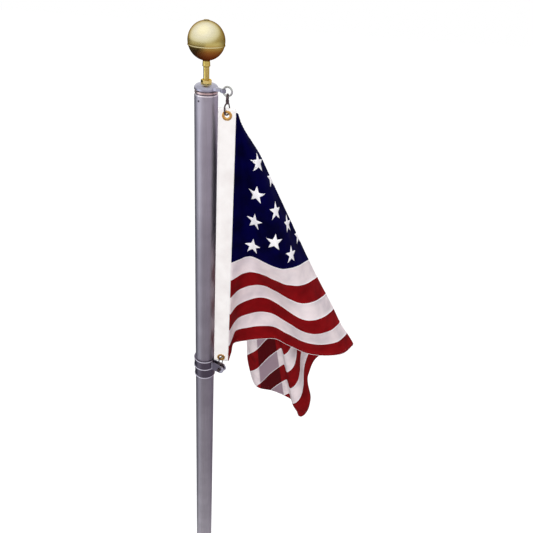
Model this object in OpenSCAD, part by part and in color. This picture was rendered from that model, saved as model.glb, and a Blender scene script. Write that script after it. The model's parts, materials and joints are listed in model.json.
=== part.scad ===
// Flagpole with a gold ball finial, a revolving top and a small flag that hangs limp.
// Millimetres, +Z up, origin at the centre of the pole's foot, flag on the +X side.

/* [Pole] */
// Length of the tube from its foot to its top rim
pole_len = 4572; // [1500:1:7000]
// Outside diameter of the tube
pole_d = 44.45; // [38:0.05:60]
// Wall of the tube
pole_wall = 3.2; // [2:0.1:5]
// Depth of the closing plug at the foot
foot_plug_h = 25; // [10:1:60]
// Depth of the top plug's spigot inside the tube
spigot_h = 45; // [20:1:90]
// Height of the top plug's flange on the rim
flange_h = 2.2; // [1.5:0.1:4]
// How far the flange stays inside the tube's outside
flange_inset = 1.6; // [0.5:0.1:3]

/* [Revolving top] */
// Height of the bearing ring on the flange
bearing_h = 3.2; // [2:0.1:6]
// How far the bearing ring stays inside the tube's outside
bearing_inset = 0.7; // [0.2:0.1:2]
// Diameter of the journal that the cap turns on
journal_d = 14.4; // [13.6:0.1:16.4]
// Height of the cap's hub under its lip
hub_h = 2.3; // [1:0.1:5]
// Diameter of the cap's hub under its lip
hub_d = 34; // [28:0.5:38]
// Height of the cap's straight lip
lip_h = 2; // [1:0.1:5]
// Height of the cap's dome over the lip
dome_h = 8.2; // [3:0.1:12]
// Diameter of the flat on top of the dome
dome_flat_d = 23; // [21.5:0.5:28]
// Distance of the arm's lug from the pole's axis
lug_reach = 40; // [36:0.5:54]
// Direction of the arm, in degrees from +X towards the front
arm_turn = 33; // [20:1:45]
// Direction in which the ring hangs out of the lug, in degrees from +X towards the front
ring_turn = 10; // [0:1:30]
// Width of the arm at the cap
arm_root_w = 15; // [10:0.5:18]
// Width of the arm at the lug
arm_tip_w = 6; // [4:0.5:8]
// Height of the arm at the cap
arm_root_h = 6.4; // [4:0.1:7]
// Height of the arm at the lug
arm_tip_h = 3.6; // [3:0.1:5]
// Height of the lug that holds the ring
lug_h = 6; // [4:0.1:7]
// Wall of the lug round the ring's wire
lug_wall = 2.4; // [1.5:0.1:3]
// Outside diameter of the hanging ring
ring_d = 20; // [18:0.5:24]
// Thickness of the hanging ring's wire
ring_wire = 3.6; // [3:0.1:4]

/* [Finial] */
// Diameter of the ball
ball_d = 67; // [50:1:80]
// Wall of the spun ball halves
ball_wall = 1.2; // [0.8:0.1:2]
// Height of the ball's rolled seam
seam_h = 2; // [1:0.1:3]
// How far the seam lies under the ball's middle
seam_drop = 7; // [0:0.5:12]
// How far the rolled seam stands out of the ball
seam_out = 0.8; // [0.4:0.1:1.5]
// Diameter of the stem
stem_d = 11; // [8:0.1:12]
// Depth of the stem in the top plug
stem_sunk = 30; // [10:1:40]
// Free height of the stem between nut and neck
stem_free = 22.5; // [5:0.5:60]
// Diameter of the neck under the ball
neck_d = 14.5; // [14:0.5:20]
// Height of the neck up to the bottom of the ball
neck_h = 11; // [8:0.5:20]
// Narrowing of the neck's radius towards the ball
neck_taper = 0.7; // [0:0.1:0.8]
// Width of the lock nut across its flats
nut_af = 17.5; // [16:0.5:18.5]
// Height of the lock nut
nut_h = 6.5; // [6:0.5:14]
// Diameter of the button on top of the ball
button_d = 10.5; // [5:0.5:12]
// Height of the button on top of the ball
button_h = 0.8; // [0.6:0.1:2]

/* [Snap hooks] */
// Thickness of the snaps' wire
snap_wire = 3; // [2.5:0.1:3.2]
// Width of the hook between wire centres
hook_w = 16; // [15:0.5:19]
// Straight length of the hook's back
hook_back = 5.5; // [3:0.5:8]
// Width of the snap's eye between wire centres
snap_eye_w = 10.4; // [9.8:0.1:12]
// Straight length of the snap's eye
snap_eye_straight = 2.3; // [0.4:0.1:4]
// Diameter of the swivel barrel
barrel_d = 6.4; // [5.8:0.1:7]
// Height of the swivel barrel
barrel_h = 4; // [3:0.1:6]
// Thickness of the spring gate
gate_d = 2.4; // [1.6:0.1:2.8]
// Slant of the hooks across the heading, in degrees
hook_turn = 33; // [20:1:38]

/* [Flag] */
// Length of the flag along the hoist
hoist_len = 610; // [400:1:1200]
// Length of the flag from the heading to the fly end
fly_len = 884; // [600:1:1800]
// Width of the canvas heading
heading_w = 33.5; // [24:0.5:40]
// Thickness of the canvas heading
heading_t = 2.4; // [1.5:0.1:3]
// Distance of the grommets' centres from the heading's ends
grommet_inset = 14; // [12:0.5:16]
// Outside diameter of the grommets
grommet_d = 19; // [17:0.5:21]
// Diameter of the grommets' hole
grommet_hole_d = 8.4; // [8.2:0.1:11]
// Thickness of the grommets' rims
grommet_rim_t = 1; // [0.4:0.1:1.2]
// Thickness of the soft cloth body
cloth_t = 3; // [2:0.1:4]
// How far the cloth's top edge lies under the heading's top
cloth_drop = 8; // [0:0.5:20]
// Height of the point that the folds fan out from over the cloth's top corner
fan_rise = 16; // [8:0.5:30]
// Radius of the bunched corner under that point
bunch_r = 40; // [30:1:80]

/* [Lower swivel] */
// Height of the swivel collar's band
collar_h = 26; // [25:0.5:40]
// Thickness of the collar's band
collar_t = 2.6; // [1.5:0.1:5]
// Radius of the rolled lips on the collar and the stop ring
edge_lip_r = 1.3; // [0.8:0.1:1.4]
// Distance of the ears' ends from the pole's axis
ear_reach = 58; // [56:0.5:66]
// Height of the ears
ear_h = 21.5; // [14:0.5:22]
// Drop of the ears below the middle of the collar
ear_drop = 2; // [0:0.1:2]
// Thickness of the ears
ear_t = 2.6; // [1.5:0.1:4]
// Gap between the ears
ear_gap = 8; // [7.6:0.1:10]
// Diameter of the collar's bolt
bolt_d = 5; // [4:0.1:5.2]
// Width of the bolt's head and nut across their flats
bolt_af = 8; // [7:0.5:10]
// Height of the bolt's head and nut
bolt_head_h = 4; // [3:0.1:5]
// Free length of the bolt past its nut
bolt_end = 3; // [0.5:0.5:8]
// Height of the stop ring
stop_h = 27; // [10:0.5:40]
// Thickness of the stop ring
stop_t = 1.6; // [1:0.1:4]

/* [Hidden] */
$fn = 96;
// Clearances: fixed pieces, pieces that turn, and wires that hang in one another
fit_gap = 0.1;
run_gap = 0.3;
hang_gap = 0.2;
eps = 0.01;

// Radii of the pole
tube_r = pole_d / 2;
tube_in_r = tube_r - pole_wall;
journal_r = journal_d / 2;

// Heights of the revolving top, from the rim up
rim_z = pole_len;
bearing_z = rim_z + flange_h;
hub_z = bearing_z + bearing_h + run_gap;
lip_z = hub_z + hub_h;
dome_z = lip_z + lip_h;
cap_top_z = dome_z + dome_h;
nut_z = cap_top_z + run_gap;

// Heights of the finial
neck_z = nut_z + nut_h + stem_free;
ball_r = ball_d / 2;
ball_z = neck_z + neck_h + ball_r;
seam_r = sqrt(pow(ball_r, 2) - pow(seam_drop, 2));
seam_in_r = sqrt(pow(ball_r - ball_wall, 2) - pow(seam_drop, 2));
stem_tip_gap = 2;
stem_top_z = ball_z - ball_r - stem_tip_gap;
neck_edge = 1.5;
neck_cup = 3;

// Hanging ring: centred on the arm's lug height
ring_r = (ring_d - ring_wire) / 2;
ring_z = lip_z + lug_h / 2 + lip_h / 2;
ring_bow = ring_r - sqrt(pow(ring_r, 2) - pow(lug_h / 2, 2));
lug_bore_r = ring_wire / 2 + ring_bow + run_gap;
lug_r = lug_bore_r + lug_wall;

// Snap hook, measured from the centre of the hook's bow along its length
hook_r = hook_w / 2;
wire_r = snap_wire / 2;
shoulder_r = barrel_d / 2 - hang_gap;
shoulder_z = hook_back + hook_r - wire_r;
shoulder_h = 2 * wire_r;
barrel_z = shoulder_z + shoulder_h + hang_gap;
shank_r = wire_r;
head_z = barrel_z + barrel_h + hang_gap;
head_edge = 1;
head_r = shank_r + head_edge;
head_h = 1.4;
snap_eye_r = snap_eye_w / 2;
snap_eye_low_z = barrel_z + barrel_h / 2 + snap_eye_r;
snap_eye_top_z = snap_eye_low_z + snap_eye_straight;
snap_eye_seat = snap_eye_top_z + snap_eye_r - wire_r;

// The snaps hang from the ring, the hooks cross the grommets aslant, and the heading hangs on them
hole_r = grommet_hole_d / 2;
rim_half = heading_t / 2 + grommet_rim_t;
hook_rise = hook_r - sqrt(pow(hook_r, 2) - pow(rim_half / cos(hook_turn), 2));
hook_room = hole_r - wire_r / cos(hook_turn) - run_gap;
hook_drop = sqrt(pow(hook_room, 2) - pow(rim_half * tan(hook_turn), 2)) - hook_rise;
top_snap_z = ring_z - ring_r + ring_wire / 2 + hang_gap - snap_eye_seat;
top_grommet_z = top_snap_z - hook_r - hook_drop;
heading_top_z = top_grommet_z + grommet_inset;
bottom_grommet_z = heading_top_z - hoist_len + grommet_inset;
low_snap_z = bottom_grommet_z - hook_drop - hook_r;
bolt_z = low_snap_z - snap_eye_seat + hang_gap + bolt_d / 2;
hang_x = lug_reach * cos(arm_turn) + ring_r * cos(ring_turn);
hang_y = -lug_reach * sin(arm_turn) - ring_r * sin(ring_turn);
hang_reach = norm([hang_x, hang_y]);
hang_turn = atan2(-hang_y, hang_x);

// Lower swivel
collar_in_r = tube_r + run_gap;
collar_r = collar_in_r + collar_t;
collar_z = bolt_z + ear_drop - collar_h / 2;
stop_z = collar_z - run_gap - stop_h;
ear_y = ear_gap / 2;

// Folds of the hanging cloth, seen from the fan's point and followed from the hoist to the fly's top edge:
// degrees towards the fly and degrees to the back. In front they are given at three levels
foot_folds = [[0, 0], [2.6, 2.6], [5.2, 5.2], [7.6, 5.4], [12.2, 2.2], [15.6, 0.6], [18.6, 0.8],
              [22, 5.6], [23.4, 10.6], [24.2, 13.4]];
mid_folds = [[0, 0], [1.4, 4.6], [3.6, 7.2], [7, 9.4], [9.4, 9.6], [12, 8.4], [14.6, 6.4],
             [17, 4.6], [19.2, 3.8], [21.4, 4.4], [23.4, 7], [24.6, 10.6], [25, 13.4]];
hem_folds = [[0, 0], [0.3, 3], [0.4, 6.2], [1.8, 7.3], [4, 8.2], [6.8, 9.2], [10, 9.7], [13, 8.4],
             [16.8, 6.9], [20.6, 7], [23.6, 8.2], [25.2, 10.8], [25.6, 13.4]];
// Behind, they turn back to the tail's crease, step to its crest and run out to the top edge
turn_folds = [[23.6, 15.4], [20, 17], [16.4, 17.4], [14.6, 16], [13.8, 14.6], [13.4, 13],
              [12.8, 11.9], [11.9, 11.5], [11, 11.9]];
step_folds = [[10.6, 13.8], [10.2, 15.4]];
tail_folds = [[9.2, 16], [7, 16.4], [4.2, 16.4], [2.8, 18.8], [2.1, 22], [3.2, 25.4], [8, 27.4],
              [13, 28], [17, 29.4], [17, 32], [13, 33], [8, 33.4]];
fold_steps = 8;
// Angles on the flat cloth at which every level has reached the crease, the crest and the end
crease_angle = 54.4;
crest_angle = 56;
end_angle = 91.5;
// Depths under the cloth's top edge of the starred corner's foot and of the middle level
cloth_len = hoist_len - cloth_drop;
foot_level = 0.485 * cloth_len;
mid_level = 0.766 * cloth_len;

// Smooth curve through a list of folds
function fold_at(folds, i) = folds[min(max(i, 0), len(folds) - 1)];
function fold_curve(folds, i, t) =
    let (a = fold_at(folds, i - 1),
         b = fold_at(folds, i),
         c = fold_at(folds, i + 1),
         d = fold_at(folds, i + 2))
    0.5 * (2 * b + (c - a) * t + (2 * a - 5 * b + 4 * c - d) * pow(t, 2)
           + (3 * b - a - 3 * c + d) * pow(t, 3));
function fold_path(folds) =
    [for (i = [0 : len(folds) - 2], k = [0 : fold_steps - 1]) fold_curve(folds, i, k / fold_steps),
     folds[len(folds) - 1]];

// Angle on the flat cloth that each point of the curve has run through
function step_angle(p, q) = norm([(q[0] - p[0]) * cos((p[1] + q[1]) / 2), q[1] - p[1]]);
function step_on(path, i) = i + 1 < len(path) ? step_angle(path[i], path[i + 1]) : 0;
function fold_arcs(path) =
    [for (i = 0, run = 0; i < len(path); run = run + step_on(path, i), i = i + 1) run];
function fold_table(front) =
    let (path = fold_path(concat(front, turn_folds, step_folds, tail_folds)),
         arcs = fold_arcs(path),
         turn_at = fold_steps * (len(front) - 1),
         crease_at = turn_at + fold_steps * len(turn_folds),
         crest_at = crease_at + fold_steps * len(step_folds),
         end_at = len(path) - 1,
         pins = [[0, 0], [arcs[turn_at], arcs[turn_at]], [arcs[crease_at], crease_angle],
                 [arcs[crest_at], crest_angle], [arcs[end_at], end_angle]])
    [for (axis = [0, 1]) [for (i = [0 : end_at]) [lookup(arcs[i], pins), path[i][axis]]]];
foot_table = fold_table(foot_folds);
mid_table = fold_table(mid_folds);
hem_table = fold_table(hem_folds);

// A point of the hanging cloth, from its polar place on the flat cloth about the fan's point
fan_point = [hang_x + heading_w / 2 + cloth_t / 2, hang_y, heading_top_z - cloth_drop + fan_rise];
function ease(t) = let (x = min(max(t, 0), 1)) x * x * (3 - 2 * x);
function fold_way(table, angle) = [lookup(angle, table[0]), lookup(angle, table[1])];
function cloth(angle, along) =
    let (depth = along * cos(angle) - fan_rise,
         to_mid = ease((depth - foot_level) / (mid_level - foot_level)),
         to_hem = ease((depth - mid_level) / (cloth_len - mid_level)),
         front = (1 - to_mid) * fold_way(foot_table, angle) + to_mid * fold_way(mid_table, angle),
         way = (1 - to_hem) * front + to_hem * fold_way(hem_table, angle))
    fan_point + along * [sin(way[0]) * cos(way[1]), sin(way[1]), -cos(way[0]) * cos(way[1])];
normal_step = 0.5;
function cloth_normal(angle, along) =
    let (down = cloth(angle, along + normal_step) - cloth(angle, along - normal_step),
         across = cloth(angle + normal_step, along) - cloth(angle - normal_step, along),
         n = cross(down, across))
    n / norm(n);
// The soft body is thinner in the bunched corner, where the folds lie close
function cloth_half(along) = min(cloth_t / 2, along / 100);

// Each fold line runs from the top edge, past the bunched corner, to the hem or the fly end
corner_angle = atan(fly_len / (fan_rise + cloth_len));
last_angle = atan(fly_len / fan_rise) - 0.6;
function fold_start(angle) = max(fan_rise / cos(angle), bunch_r);
function fold_end(angle) =
    angle < corner_angle ? (fan_rise + cloth_len) / cos(angle) : fly_len / sin(angle);
fan_steps = 100;
run_steps = 14;

// Plain ring between two radii
module band(outer, inner, h) {
    difference() {
        cylinder(r = outer, h = h);
        translate([0, 0, -eps]) cylinder(r = inner, h = h + 2 * eps);
    }
}

// Hexagonal prism across its flats, with the corners of both ends turned off
module hexagon(af, h) {
    flat_r = af / 2;
    corner_r = flat_r / cos(30);
    bevel = (corner_r - flat_r) * tan(30);
    intersection() {
        cylinder(r = corner_r, h = h, $fn = 6);
        rotate_extrude() polygon([
            [0, 0], [flat_r, 0], [corner_r, bevel], [corner_r, h - bevel], [flat_r, h], [0, h]]);
    }
}

// Rolled lip round an outside, with its lower edge at the given height
module edge_lip(outer, z) {
    translate([0, 0, z + edge_lip_r]) rotate_extrude() translate([outer, 0]) circle(r = edge_lip_r, $fn = 48);
}

// Round wire bent in the XZ plane, from one angle on
module bent_wire(r, wire, from, sweep) {
    rotate([90, 0, 0]) rotate([0, 0, from]) rotate_extrude(angle = sweep)
        translate([r, 0]) circle(r = wire, $fn = 48);
}

// Closed ring of round wire, standing in the XZ plane
module wire_ring(r, wire) {
    rotate([90, 0, 0]) rotate_extrude() translate([r, 0]) circle(r = wire, $fn = 48);
}

// Moves a piece to the hanging line of the arm and the ears
module on_hanging_line(z) {
    translate([hang_x, hang_y, z]) children();
}

// Swivel eye of a snap: a barrel with an oval loop over it
module snap_eye() {
    difference() {
        union() {
            translate([0, 0, barrel_z]) cylinder(d = barrel_d, h = barrel_h);
            translate([0, 0, snap_eye_low_z]) bent_wire(snap_eye_r, wire_r, 180, 180);
            translate([0, 0, snap_eye_top_z]) bent_wire(snap_eye_r, wire_r, 0, 180);
            for (side = [-1, 1]) translate([side * snap_eye_r, 0, snap_eye_low_z])
                cylinder(r = wire_r, h = snap_eye_straight, $fn = 48);
        }
        translate([0, 0, barrel_z - eps]) cylinder(r = shank_r + hang_gap, h = barrel_h + 2 * eps);
        translate([0, 0, barrel_z + barrel_h]) cylinder(r = head_r + hang_gap, h = head_h + 2 * hang_gap);
    }
}

// Hook of a snap: bow, back, shoulder and the headed pin that turns in the barrel
module snap_hook() {
    bent_wire(hook_r, wire_r, 180, 180);
    translate([-hook_r, 0, 0]) cylinder(r = wire_r, h = hook_back, $fn = 48);
    translate([0, 0, hook_back]) bent_wire(hook_r, wire_r, 90, 90);
    translate([0, 0, shoulder_z]) cylinder(r = shoulder_r, h = shoulder_h);
    translate([0, 0, shoulder_z]) cylinder(r = shank_r, h = head_z + head_h - shoulder_z);
    translate([0, 0, head_z]) cylinder(r = head_r, h = head_h);
}

// Spring gate of a snap: a straight bar from the hook's nose to its shoulder
module snap_gate() {
    gate_r = gate_d / 2;
    foot = [hook_r, hang_gap];
    head = [shoulder_r + gate_r, shoulder_z];
    lean = atan((foot[0] - head[0]) / (head[1] - foot[1]));
    length = norm(head - foot);
    lift = gate_r * sin(lean);
    translate([foot[0], 0, foot[1] + lift]) rotate([0, -lean, 0])
        cylinder(r = gate_r, h = length, $fn = 48);
}

// Grommet: a barrel through the canvas with a domed rim on each face
module grommet() {
    rim_w = (grommet_d / 2 - hole_r) / 2;
    rim_points = 12;
    rotate([90, 0, 0]) {
        translate([0, 0, -heading_t / 2]) band(hole_r + grommet_rim_t, hole_r, heading_t);
        for (side = [0, 1]) mirror([0, 0, side]) translate([0, 0, heading_t / 2]) rotate_extrude() polygon(
            [for (i = [0 : rim_points]) let (a = 180 * i / rim_points)
                [hole_r + rim_w + rim_w * cos(a), grommet_rim_t * sin(a)]]);
    }
}

// Part of the spun ball over a level
module ball_over(level) {
    difference() {
        sphere(r = ball_r);
        sphere(r = ball_r - ball_wall);
        translate([-ball_d, -ball_d, level - 2 * ball_d]) cube(2 * ball_d);
    }
}

module pole_tube() {
    color("#8f8894") band(tube_r, tube_in_r, pole_len);
}

module foot_plug() {
    color("#5d5a60") cylinder(r = tube_in_r - fit_gap, h = foot_plug_h);
}

module top_plug() {
    color("#77727c") difference() {
        union() {
            translate([0, 0, rim_z - spigot_h]) cylinder(r = tube_in_r - fit_gap, h = spigot_h);
            translate([0, 0, rim_z]) cylinder(r = tube_r - flange_inset, h = flange_h);
            translate([0, 0, rim_z]) cylinder(r = journal_r, h = nut_z - rim_z);
        }
        translate([0, 0, nut_z - stem_sunk]) cylinder(d = stem_d + 2 * fit_gap, h = stem_sunk + eps);
    }
}

module bearing_ring() {
    color("#a7a5b2") translate([0, 0, bearing_z])
        band(tube_r - bearing_inset, journal_r + fit_gap, bearing_h);
}

module finial_stem() {
    color("#b59a4a") translate([0, 0, nut_z - stem_sunk])
        cylinder(d = stem_d, h = stem_top_z - nut_z + stem_sunk);
}

module lock_nut() {
    color("#b59a4a") translate([0, 0, nut_z]) difference() {
        hexagon(nut_af, nut_h);
        translate([0, 0, -eps]) cylinder(d = stem_d + 2 * fit_gap, h = nut_h + 2 * eps);
    }
}

module ball_neck() {
    neck_r = neck_d / 2;
    color("#a8822f") difference() {
        translate([0, 0, neck_z]) rotate_extrude() polygon([
            [stem_d / 2 + fit_gap, 0], [neck_r - neck_edge, 0], [neck_r, neck_edge],
            [neck_r - neck_taper, neck_h], [neck_r - neck_taper, neck_h + neck_cup],
            [stem_d / 2 + fit_gap, neck_h + neck_cup]]);
        translate([0, 0, ball_z]) sphere(r = ball_r + fit_gap);
    }
}

module ball_lower_half() {
    color("#9a7a34") translate([0, 0, ball_z]) {
        mirror([0, 0, 1]) ball_over(seam_drop + seam_h / 2);
        translate([0, 0, -seam_drop]) rotate_extrude() polygon([
            [seam_in_r, -seam_h / 2], [seam_r + seam_out / 2, -seam_h / 2],
            [seam_r + seam_out, -seam_h / 4], [seam_r + seam_out, seam_h / 4],
            [seam_r + seam_out / 2, seam_h / 2], [seam_in_r, seam_h / 2]]);
    }
}

module ball_upper_half() {
    color("#d9cf9c") translate([0, 0, ball_z]) ball_over(seam_h / 2 - seam_drop);
}

module ball_top_button() {
    color("#d9cf9c") translate([0, 0, ball_z + ball_r]) rotate_extrude() polygon([
        [0, fit_gap], [button_d / 2, fit_gap], [button_d / 2, button_h / 2], [button_d / 3, button_h],
        [0, button_h]]);
}

module stop_ring() {
    color("#7b757f") difference() {
        union() {
            translate([0, 0, stop_z]) cylinder(r = tube_r + stop_t, h = stop_h);
            edge_lip(tube_r + stop_t, stop_z);
        }
        translate([0, 0, stop_z - eps]) cylinder(r = tube_r + fit_gap, h = stop_h + 2 * eps);
    }
}

// Arm of the cap: tapered in plan and from the side, with a drilled lug at its end
module cap_arm() {
    root_x = dome_flat_d / 2;
    translate([0, 0, ring_z]) intersection() {
        rotate([90, 0, 0]) linear_extrude(height = 2 * arm_root_w, center = true) polygon([
            [root_x, -arm_root_h / 2], [lug_reach, -arm_tip_h / 2],
            [lug_reach, arm_tip_h / 2], [root_x, arm_root_h / 2]]);
        linear_extrude(height = 2 * arm_root_h, center = true) polygon([
            [root_x, -arm_root_w / 2], [lug_reach, -arm_tip_w / 2],
            [lug_reach, arm_tip_w / 2], [root_x, arm_root_w / 2]]);
    }
    translate([lug_reach, 0, ring_z - lug_h / 2]) cylinder(r = lug_r, h = lug_h);
}

module swivel_cap() {
    flat_r = dome_flat_d / 2;
    dome_points = 10;
    color("#a2a1b0") difference() {
        union() {
            rotate_extrude() polygon(concat(
                [[0, hub_z], [hub_d / 2, hub_z], [hub_d / 2, lip_z], [tube_r, lip_z], [tube_r, dome_z]],
                [for (i = [1 : dome_points]) let (a = 90 * i / dome_points)
                    [flat_r + (tube_r - flat_r) * cos(a), dome_z + dome_h * sin(a)]],
                [[0, cap_top_z]]));
            rotate([0, 0, -arm_turn]) cap_arm();
        }
        translate([0, 0, hub_z - eps]) cylinder(r = journal_r + run_gap, h = nut_z - hub_z);
        rotate([0, 0, -arm_turn]) translate([lug_reach, 0, ring_z - lug_h])
            cylinder(r = lug_bore_r, h = 2 * lug_h);
    }
}

module hanging_ring() {
    color("#b9bdc0") on_hanging_line(ring_z) rotate([0, 0, -ring_turn]) wire_ring(ring_r, ring_wire / 2);
}

// The top snap hangs on the ring, and the lower one stands on its head
module top_snap_place(turn) {
    on_hanging_line(top_snap_z) rotate([0, 0, turn]) children();
}

module lower_snap_place(turn) {
    on_hanging_line(low_snap_z) rotate([0, 0, turn]) mirror([0, 0, 1]) children();
}

module top_snap_eye() {
    color("#a9a7a0") top_snap_place(90 - ring_turn) snap_eye();
}

module top_snap_hook() {
    color("#a9a7a0") top_snap_place(90 - hook_turn) snap_hook();
}

module top_snap_gate() {
    color("#c4c3be") top_snap_place(90 - hook_turn) snap_gate();
}

module heading() {
    color("#f2eeec") difference() {
        translate([hang_x - heading_w / 2, hang_y - heading_t / 2, heading_top_z - hoist_len])
            cube([heading_w, heading_t, hoist_len]);
        for (z = [top_grommet_z, bottom_grommet_z]) on_hanging_line(z) rotate([90, 0, 0])
            cylinder(r = hole_r + grommet_rim_t + fit_gap, h = 2 * heading_t, center = true);
    }
}

module top_grommet() {
    color("#c08a3a") on_hanging_line(top_grommet_z) grommet();
}

module bottom_grommet() {
    color("#c08a3a") on_hanging_line(bottom_grommet_z) grommet();
}

// The cloth hangs in folds that all run to the fan's point, so the flat cloth is bent and never stretched
module flag() {
    rows = run_steps + 1;
    skin = (fan_steps + 1) * rows;
    points = [for (face = [-1, 1], i = [0 : fan_steps], k = [0 : run_steps])
        let (angle = last_angle * i / fan_steps,
             along = fold_start(angle) + (fold_end(angle) - fold_start(angle)) * k / run_steps)
        cloth(angle, along) + face * cloth_half(along) * cloth_normal(angle, along)];
    function at(face, i, k) = face * skin + i * rows + k;
    faces = concat(
        [for (i = [0 : fan_steps - 1], k = [0 : run_steps - 1])
            each [[at(0, i, k), at(0, i, k + 1), at(0, i + 1, k + 1)],
                  [at(0, i, k), at(0, i + 1, k + 1), at(0, i + 1, k)]]],
        [for (i = [0 : fan_steps - 1], k = [0 : run_steps - 1])
            each [[at(1, i, k), at(1, i + 1, k + 1), at(1, i, k + 1)],
                  [at(1, i, k), at(1, i + 1, k), at(1, i + 1, k + 1)]]],
        [for (i = [0 : fan_steps - 1])
            each [[at(0, i, 0), at(0, i + 1, 0), at(1, i + 1, 0)],
                  [at(0, i, 0), at(1, i + 1, 0), at(1, i, 0)],
                  [at(0, i, run_steps), at(1, i, run_steps), at(1, i + 1, run_steps)],
                  [at(0, i, run_steps), at(1, i + 1, run_steps), at(0, i + 1, run_steps)]]],
        [for (k = [0 : run_steps - 1])
            each [[at(0, 0, k), at(1, 0, k), at(1, 0, k + 1)],
                  [at(0, 0, k), at(1, 0, k + 1), at(0, 0, k + 1)],
                  [at(0, fan_steps, k), at(0, fan_steps, k + 1), at(1, fan_steps, k + 1)],
                  [at(0, fan_steps, k), at(1, fan_steps, k + 1), at(1, fan_steps, k)]]]);
    color("#8c1a20") polyhedron(points = points, faces = faces);
}

// One ear of the collar, with a round end and the bolt's hole
module ear() {
    rotate([90, 0, 0]) linear_extrude(height = ear_t) difference() {
        union() {
            translate([collar_in_r, -ear_h / 2]) square([ear_reach - ear_h / 2 - collar_in_r, ear_h]);
            translate([ear_reach - ear_h / 2, 0]) circle(d = ear_h);
        }
        translate([hang_reach, 0]) circle(d = bolt_d + 2 * fit_gap);
    }
}

module swivel_collar() {
    color("#6e6874") rotate([0, 0, -hang_turn]) difference() {
        union() {
            translate([0, 0, collar_z]) cylinder(r = collar_r, h = collar_h);
            edge_lip(collar_r, collar_z);
            edge_lip(collar_r, collar_z + collar_h - 2 * edge_lip_r);
            translate([0, -ear_y, bolt_z]) ear();
            translate([0, ear_y + ear_t, bolt_z]) ear();
        }
        translate([0, -ear_y, collar_z - eps]) cube([collar_r + 2 * edge_lip_r, ear_gap, collar_h + 2 * eps]);
        translate([0, 0, collar_z - eps]) cylinder(r = collar_in_r, h = collar_h + 2 * eps);
    }
}

// The bolt runs across the ears, from the front one to the back one
module on_bolt_axis() {
    rotate([0, 0, -hang_turn]) translate([hang_reach, -ear_y - ear_t, bolt_z]) rotate([-90, 0, 0]) children();
}

module collar_bolt() {
    color("#a5a2aa") on_bolt_axis() {
        cylinder(d = bolt_d, h = ear_gap + 2 * ear_t + bolt_head_h + bolt_end);
        translate([0, 0, -bolt_head_h]) hexagon(bolt_af, bolt_head_h);
    }
}

module collar_nut() {
    color("#a5a2aa") on_bolt_axis() translate([0, 0, ear_gap + 2 * ear_t]) difference() {
        hexagon(bolt_af, bolt_head_h);
        translate([0, 0, -eps]) cylinder(d = bolt_d + 2 * fit_gap, h = bolt_head_h + 2 * eps);
    }
}

module lower_snap_eye() {
    color("#a9a7a0") lower_snap_place(-hang_turn) snap_eye();
}

module lower_snap_hook() {
    color("#a9a7a0") lower_snap_place(90 - hook_turn) snap_hook();
}

module lower_snap_gate() {
    color("#c4c3be") lower_snap_place(90 - hook_turn) snap_gate();
}

pole_tube();
foot_plug();
top_plug();
bearing_ring();
finial_stem();
lock_nut();
ball_neck();
ball_lower_half();
ball_upper_half();
ball_top_button();
stop_ring();
swivel_cap();
hanging_ring();
top_snap_eye();
top_snap_hook();
top_snap_gate();
heading();
top_grommet();
bottom_grommet();
flag();
swivel_collar();
collar_bolt();
collar_nut();
lower_snap_eye();
lower_snap_hook();
lower_snap_gate();
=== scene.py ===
import bisect
import json
import math

import bmesh
import bpy
from mathutils import Matrix, Vector, noise


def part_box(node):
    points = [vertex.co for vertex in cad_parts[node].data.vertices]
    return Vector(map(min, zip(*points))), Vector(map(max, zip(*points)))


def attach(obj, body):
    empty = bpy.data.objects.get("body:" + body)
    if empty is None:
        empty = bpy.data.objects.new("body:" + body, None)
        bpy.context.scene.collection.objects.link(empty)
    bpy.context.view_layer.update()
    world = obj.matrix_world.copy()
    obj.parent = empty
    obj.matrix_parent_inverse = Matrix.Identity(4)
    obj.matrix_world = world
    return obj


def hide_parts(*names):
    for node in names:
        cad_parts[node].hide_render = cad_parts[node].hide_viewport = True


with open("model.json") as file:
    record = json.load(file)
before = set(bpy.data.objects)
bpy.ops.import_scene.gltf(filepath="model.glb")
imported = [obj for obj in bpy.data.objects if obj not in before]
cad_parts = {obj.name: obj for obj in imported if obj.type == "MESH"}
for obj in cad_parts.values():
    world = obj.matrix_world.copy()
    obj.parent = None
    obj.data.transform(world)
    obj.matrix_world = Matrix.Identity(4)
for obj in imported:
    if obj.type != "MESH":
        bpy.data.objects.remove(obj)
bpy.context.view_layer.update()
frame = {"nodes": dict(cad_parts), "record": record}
scene = bpy.context.scene
nodes = frame["nodes"]
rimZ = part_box("pole_tube")[1].z
rim = Vector((0, 0, rimZ))  # middle of the tube's rim
headingLow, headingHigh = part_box("heading")
print("frame loaded, rim at", round(rimZ, 3))


def linear(hexColour):
    parts = [int(hexColour[i:i + 2], 16) / 255 for i in (1, 3, 5)]
    return [p / 12.92 if p <= 0.04045 else ((p + 0.055) / 1.055) ** 2.4 for p in parts] + [1]


def addNode(tree, kind, values={}, links={}):
    node = tree.nodes.new(kind)
    for key, value in values.items():  # a name is a setting if the node has one, else an input
        if key == "stops":  # places and hex colours along a ramp
            elements = node.color_ramp.elements
            while len(elements) < len(value):
                elements.new(0.5)
            for element, (place, colour) in zip(elements, value):
                element.position, element.color = place, linear(colour)
        elif isinstance(key, str) and hasattr(node, key):
            setattr(node, key, value)
        else:
            node.inputs[key].default_value = value
    for key, socket in links.items():
        tree.links.new(socket, node.inputs[key])
    return node


def newMaterial(name):
    material = bpy.data.materials.new(name)
    material.use_nodes = True
    material.node_tree.nodes.clear()
    return material, material.node_tree


def finishMaterial(tree, shader):
    addNode(tree, "ShaderNodeOutputMaterial", {}, {"Surface": shader.outputs[0]})


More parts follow.
